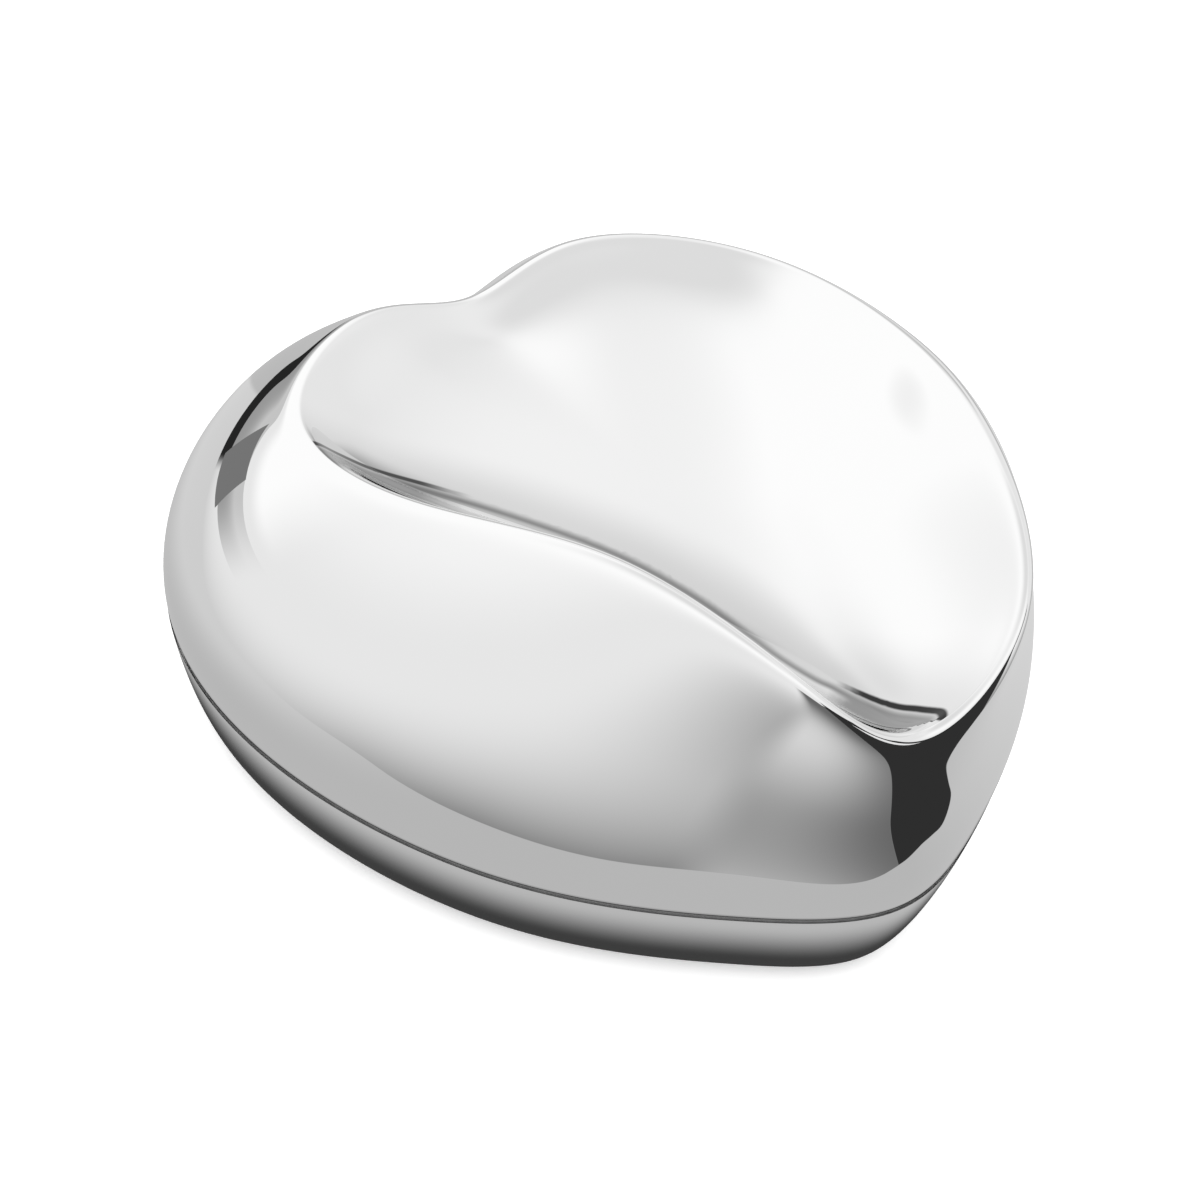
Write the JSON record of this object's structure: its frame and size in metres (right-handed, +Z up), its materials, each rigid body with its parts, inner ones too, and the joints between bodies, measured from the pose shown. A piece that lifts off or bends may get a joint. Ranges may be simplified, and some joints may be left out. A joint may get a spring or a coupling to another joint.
{
  "type": "wind-up music box",
  "caption": "Heart-shaped music box: polished metal lid with a dished top over a base that holds a comb-and-cylinder movement wound by a key in its underside.",
  "frame": {"origin": "middle of the part's footprint on the underside of the pads", "axes": "+Y from the heart's tip to its cleft, +Z up through the lid, +X to the right lobe seen with the tip towards the viewer"},
  "size_m": [0.0918, 0.0987, 0.0509],
  "materials": {
    "polished_steel": "mirror polished",
    "panel_steel": "fine brushed",
    "dark_steel": "dull",
    "pad_rubber": "matt",
    "movement_brass": "satin",
    "screw_steel": "turned and burnished",
    "spring_steel": "blued",
    "comb_steel": "ground and hardened",
    "block_iron": "painted casting",
    "lead": "dull lead"
  },
  "bodies": {
    "base": {"base_shell": "polished_steel", "bottom_panel": "panel_steel", "locating_ring": "dark_steel", "pads": "pad_rubber", "standoffs": "movement_brass", "bedplate": "movement_brass", "bedplate_screws": "screw_steel", "click_screw": "screw_steel", "click_spring": "spring_steel", "bearing_post": "movement_brass", "governor_frame": "movement_brass", "comb": "comb_steel", "comb_block": "block_iron", "comb_screws": "screw_steel", "bass_weights": "lead", "stop_pivot": "movement_brass"},
    "lid": {"lid_shell": "polished_steel", "lid_boss": "polished_steel"},
    "key": {"winding_key": "screw_steel", "winding_arbor": "screw_steel", "ratchet_wheel": "movement_brass"},
    "click_lever": {"click": "screw_steel"},
    "barrel": {"spring_barrel": "movement_brass", "barrel_cover": "movement_brass", "mainspring": "spring_steel"},
    "cylinder": {"cylinder_tube": "movement_brass", "cylinder_pins": "screw_steel", "cylinder_caps": "movement_brass", "cylinder_arbor": "screw_steel", "cylinder_pinion": "movement_brass", "drive_gear": "movement_brass"},
    "governor": {"governor_wheel": "screw_steel", "worm_wheel": "movement_brass"},
    "fan_shaft": {"worm": "screw_steel", "fan": "screw_steel"},
    "stop": {"stop_lever": "screw_steel"}
  },
  "joints": [
    {"name": "lid_lift", "type": "slide", "parent": "base", "child": "lid", "axis": [0, 0, 1], "range_m": [0, 0.06]},
    {"name": "key_wind", "type": "hinge", "parent": "base", "child": "key", "pos_m": [-0.006, 0.017, 0.012], "axis": [0, 0, 1], "range_deg": [0, 1620]},
    {"name": "click_swing", "type": "hinge", "parent": "base", "child": "click_lever", "pos_m": [0.004, 0.0115, 0.0128], "axis": [0, 0, 1], "range_deg": [-8, 0], "stiffness_Nm_per_rad": 0.001},
    {"name": "barrel_spin", "type": "hinge", "parent": "base", "child": "barrel", "pos_m": [-0.006, 0.017, 0.017], "axis": [0, 0, 1], "continuous": true},
    {"name": "cylinder_spin", "type": "hinge", "parent": "base", "child": "cylinder", "pos_m": [-0.006, -0.007, 0.0246], "axis": [0, 1, 0], "continuous": true},
    {"name": "governor_spin", "type": "hinge", "parent": "base", "child": "governor", "pos_m": [-0.006, -0.022, 0.0171], "axis": [0, 1, 0], "continuous": true},
    {"name": "fan_spin", "type": "hinge", "parent": "base", "child": "fan_shaft", "pos_m": [-0.00085, -0.0253, 0.021], "axis": [0, 0, 1], "continuous": true},
    {"name": "stop_swing", "type": "hinge", "parent": "base", "child": "stop", "pos_m": [0.00715, -0.0253, 0.0223], "axis": [0, 1, 0], "range_deg": [0, 8], "stiffness_Nm_per_rad": 0.001}
  ],
  "couplings": [
    {"joint": "barrel_spin", "follows": "cylinder_spin", "ratio": -0.33333},
    {"joint": "governor_spin", "follows": "cylinder_spin", "ratio": -4},
    {"joint": "fan_spin", "follows": "cylinder_spin", "ratio": -80}
  ]
}
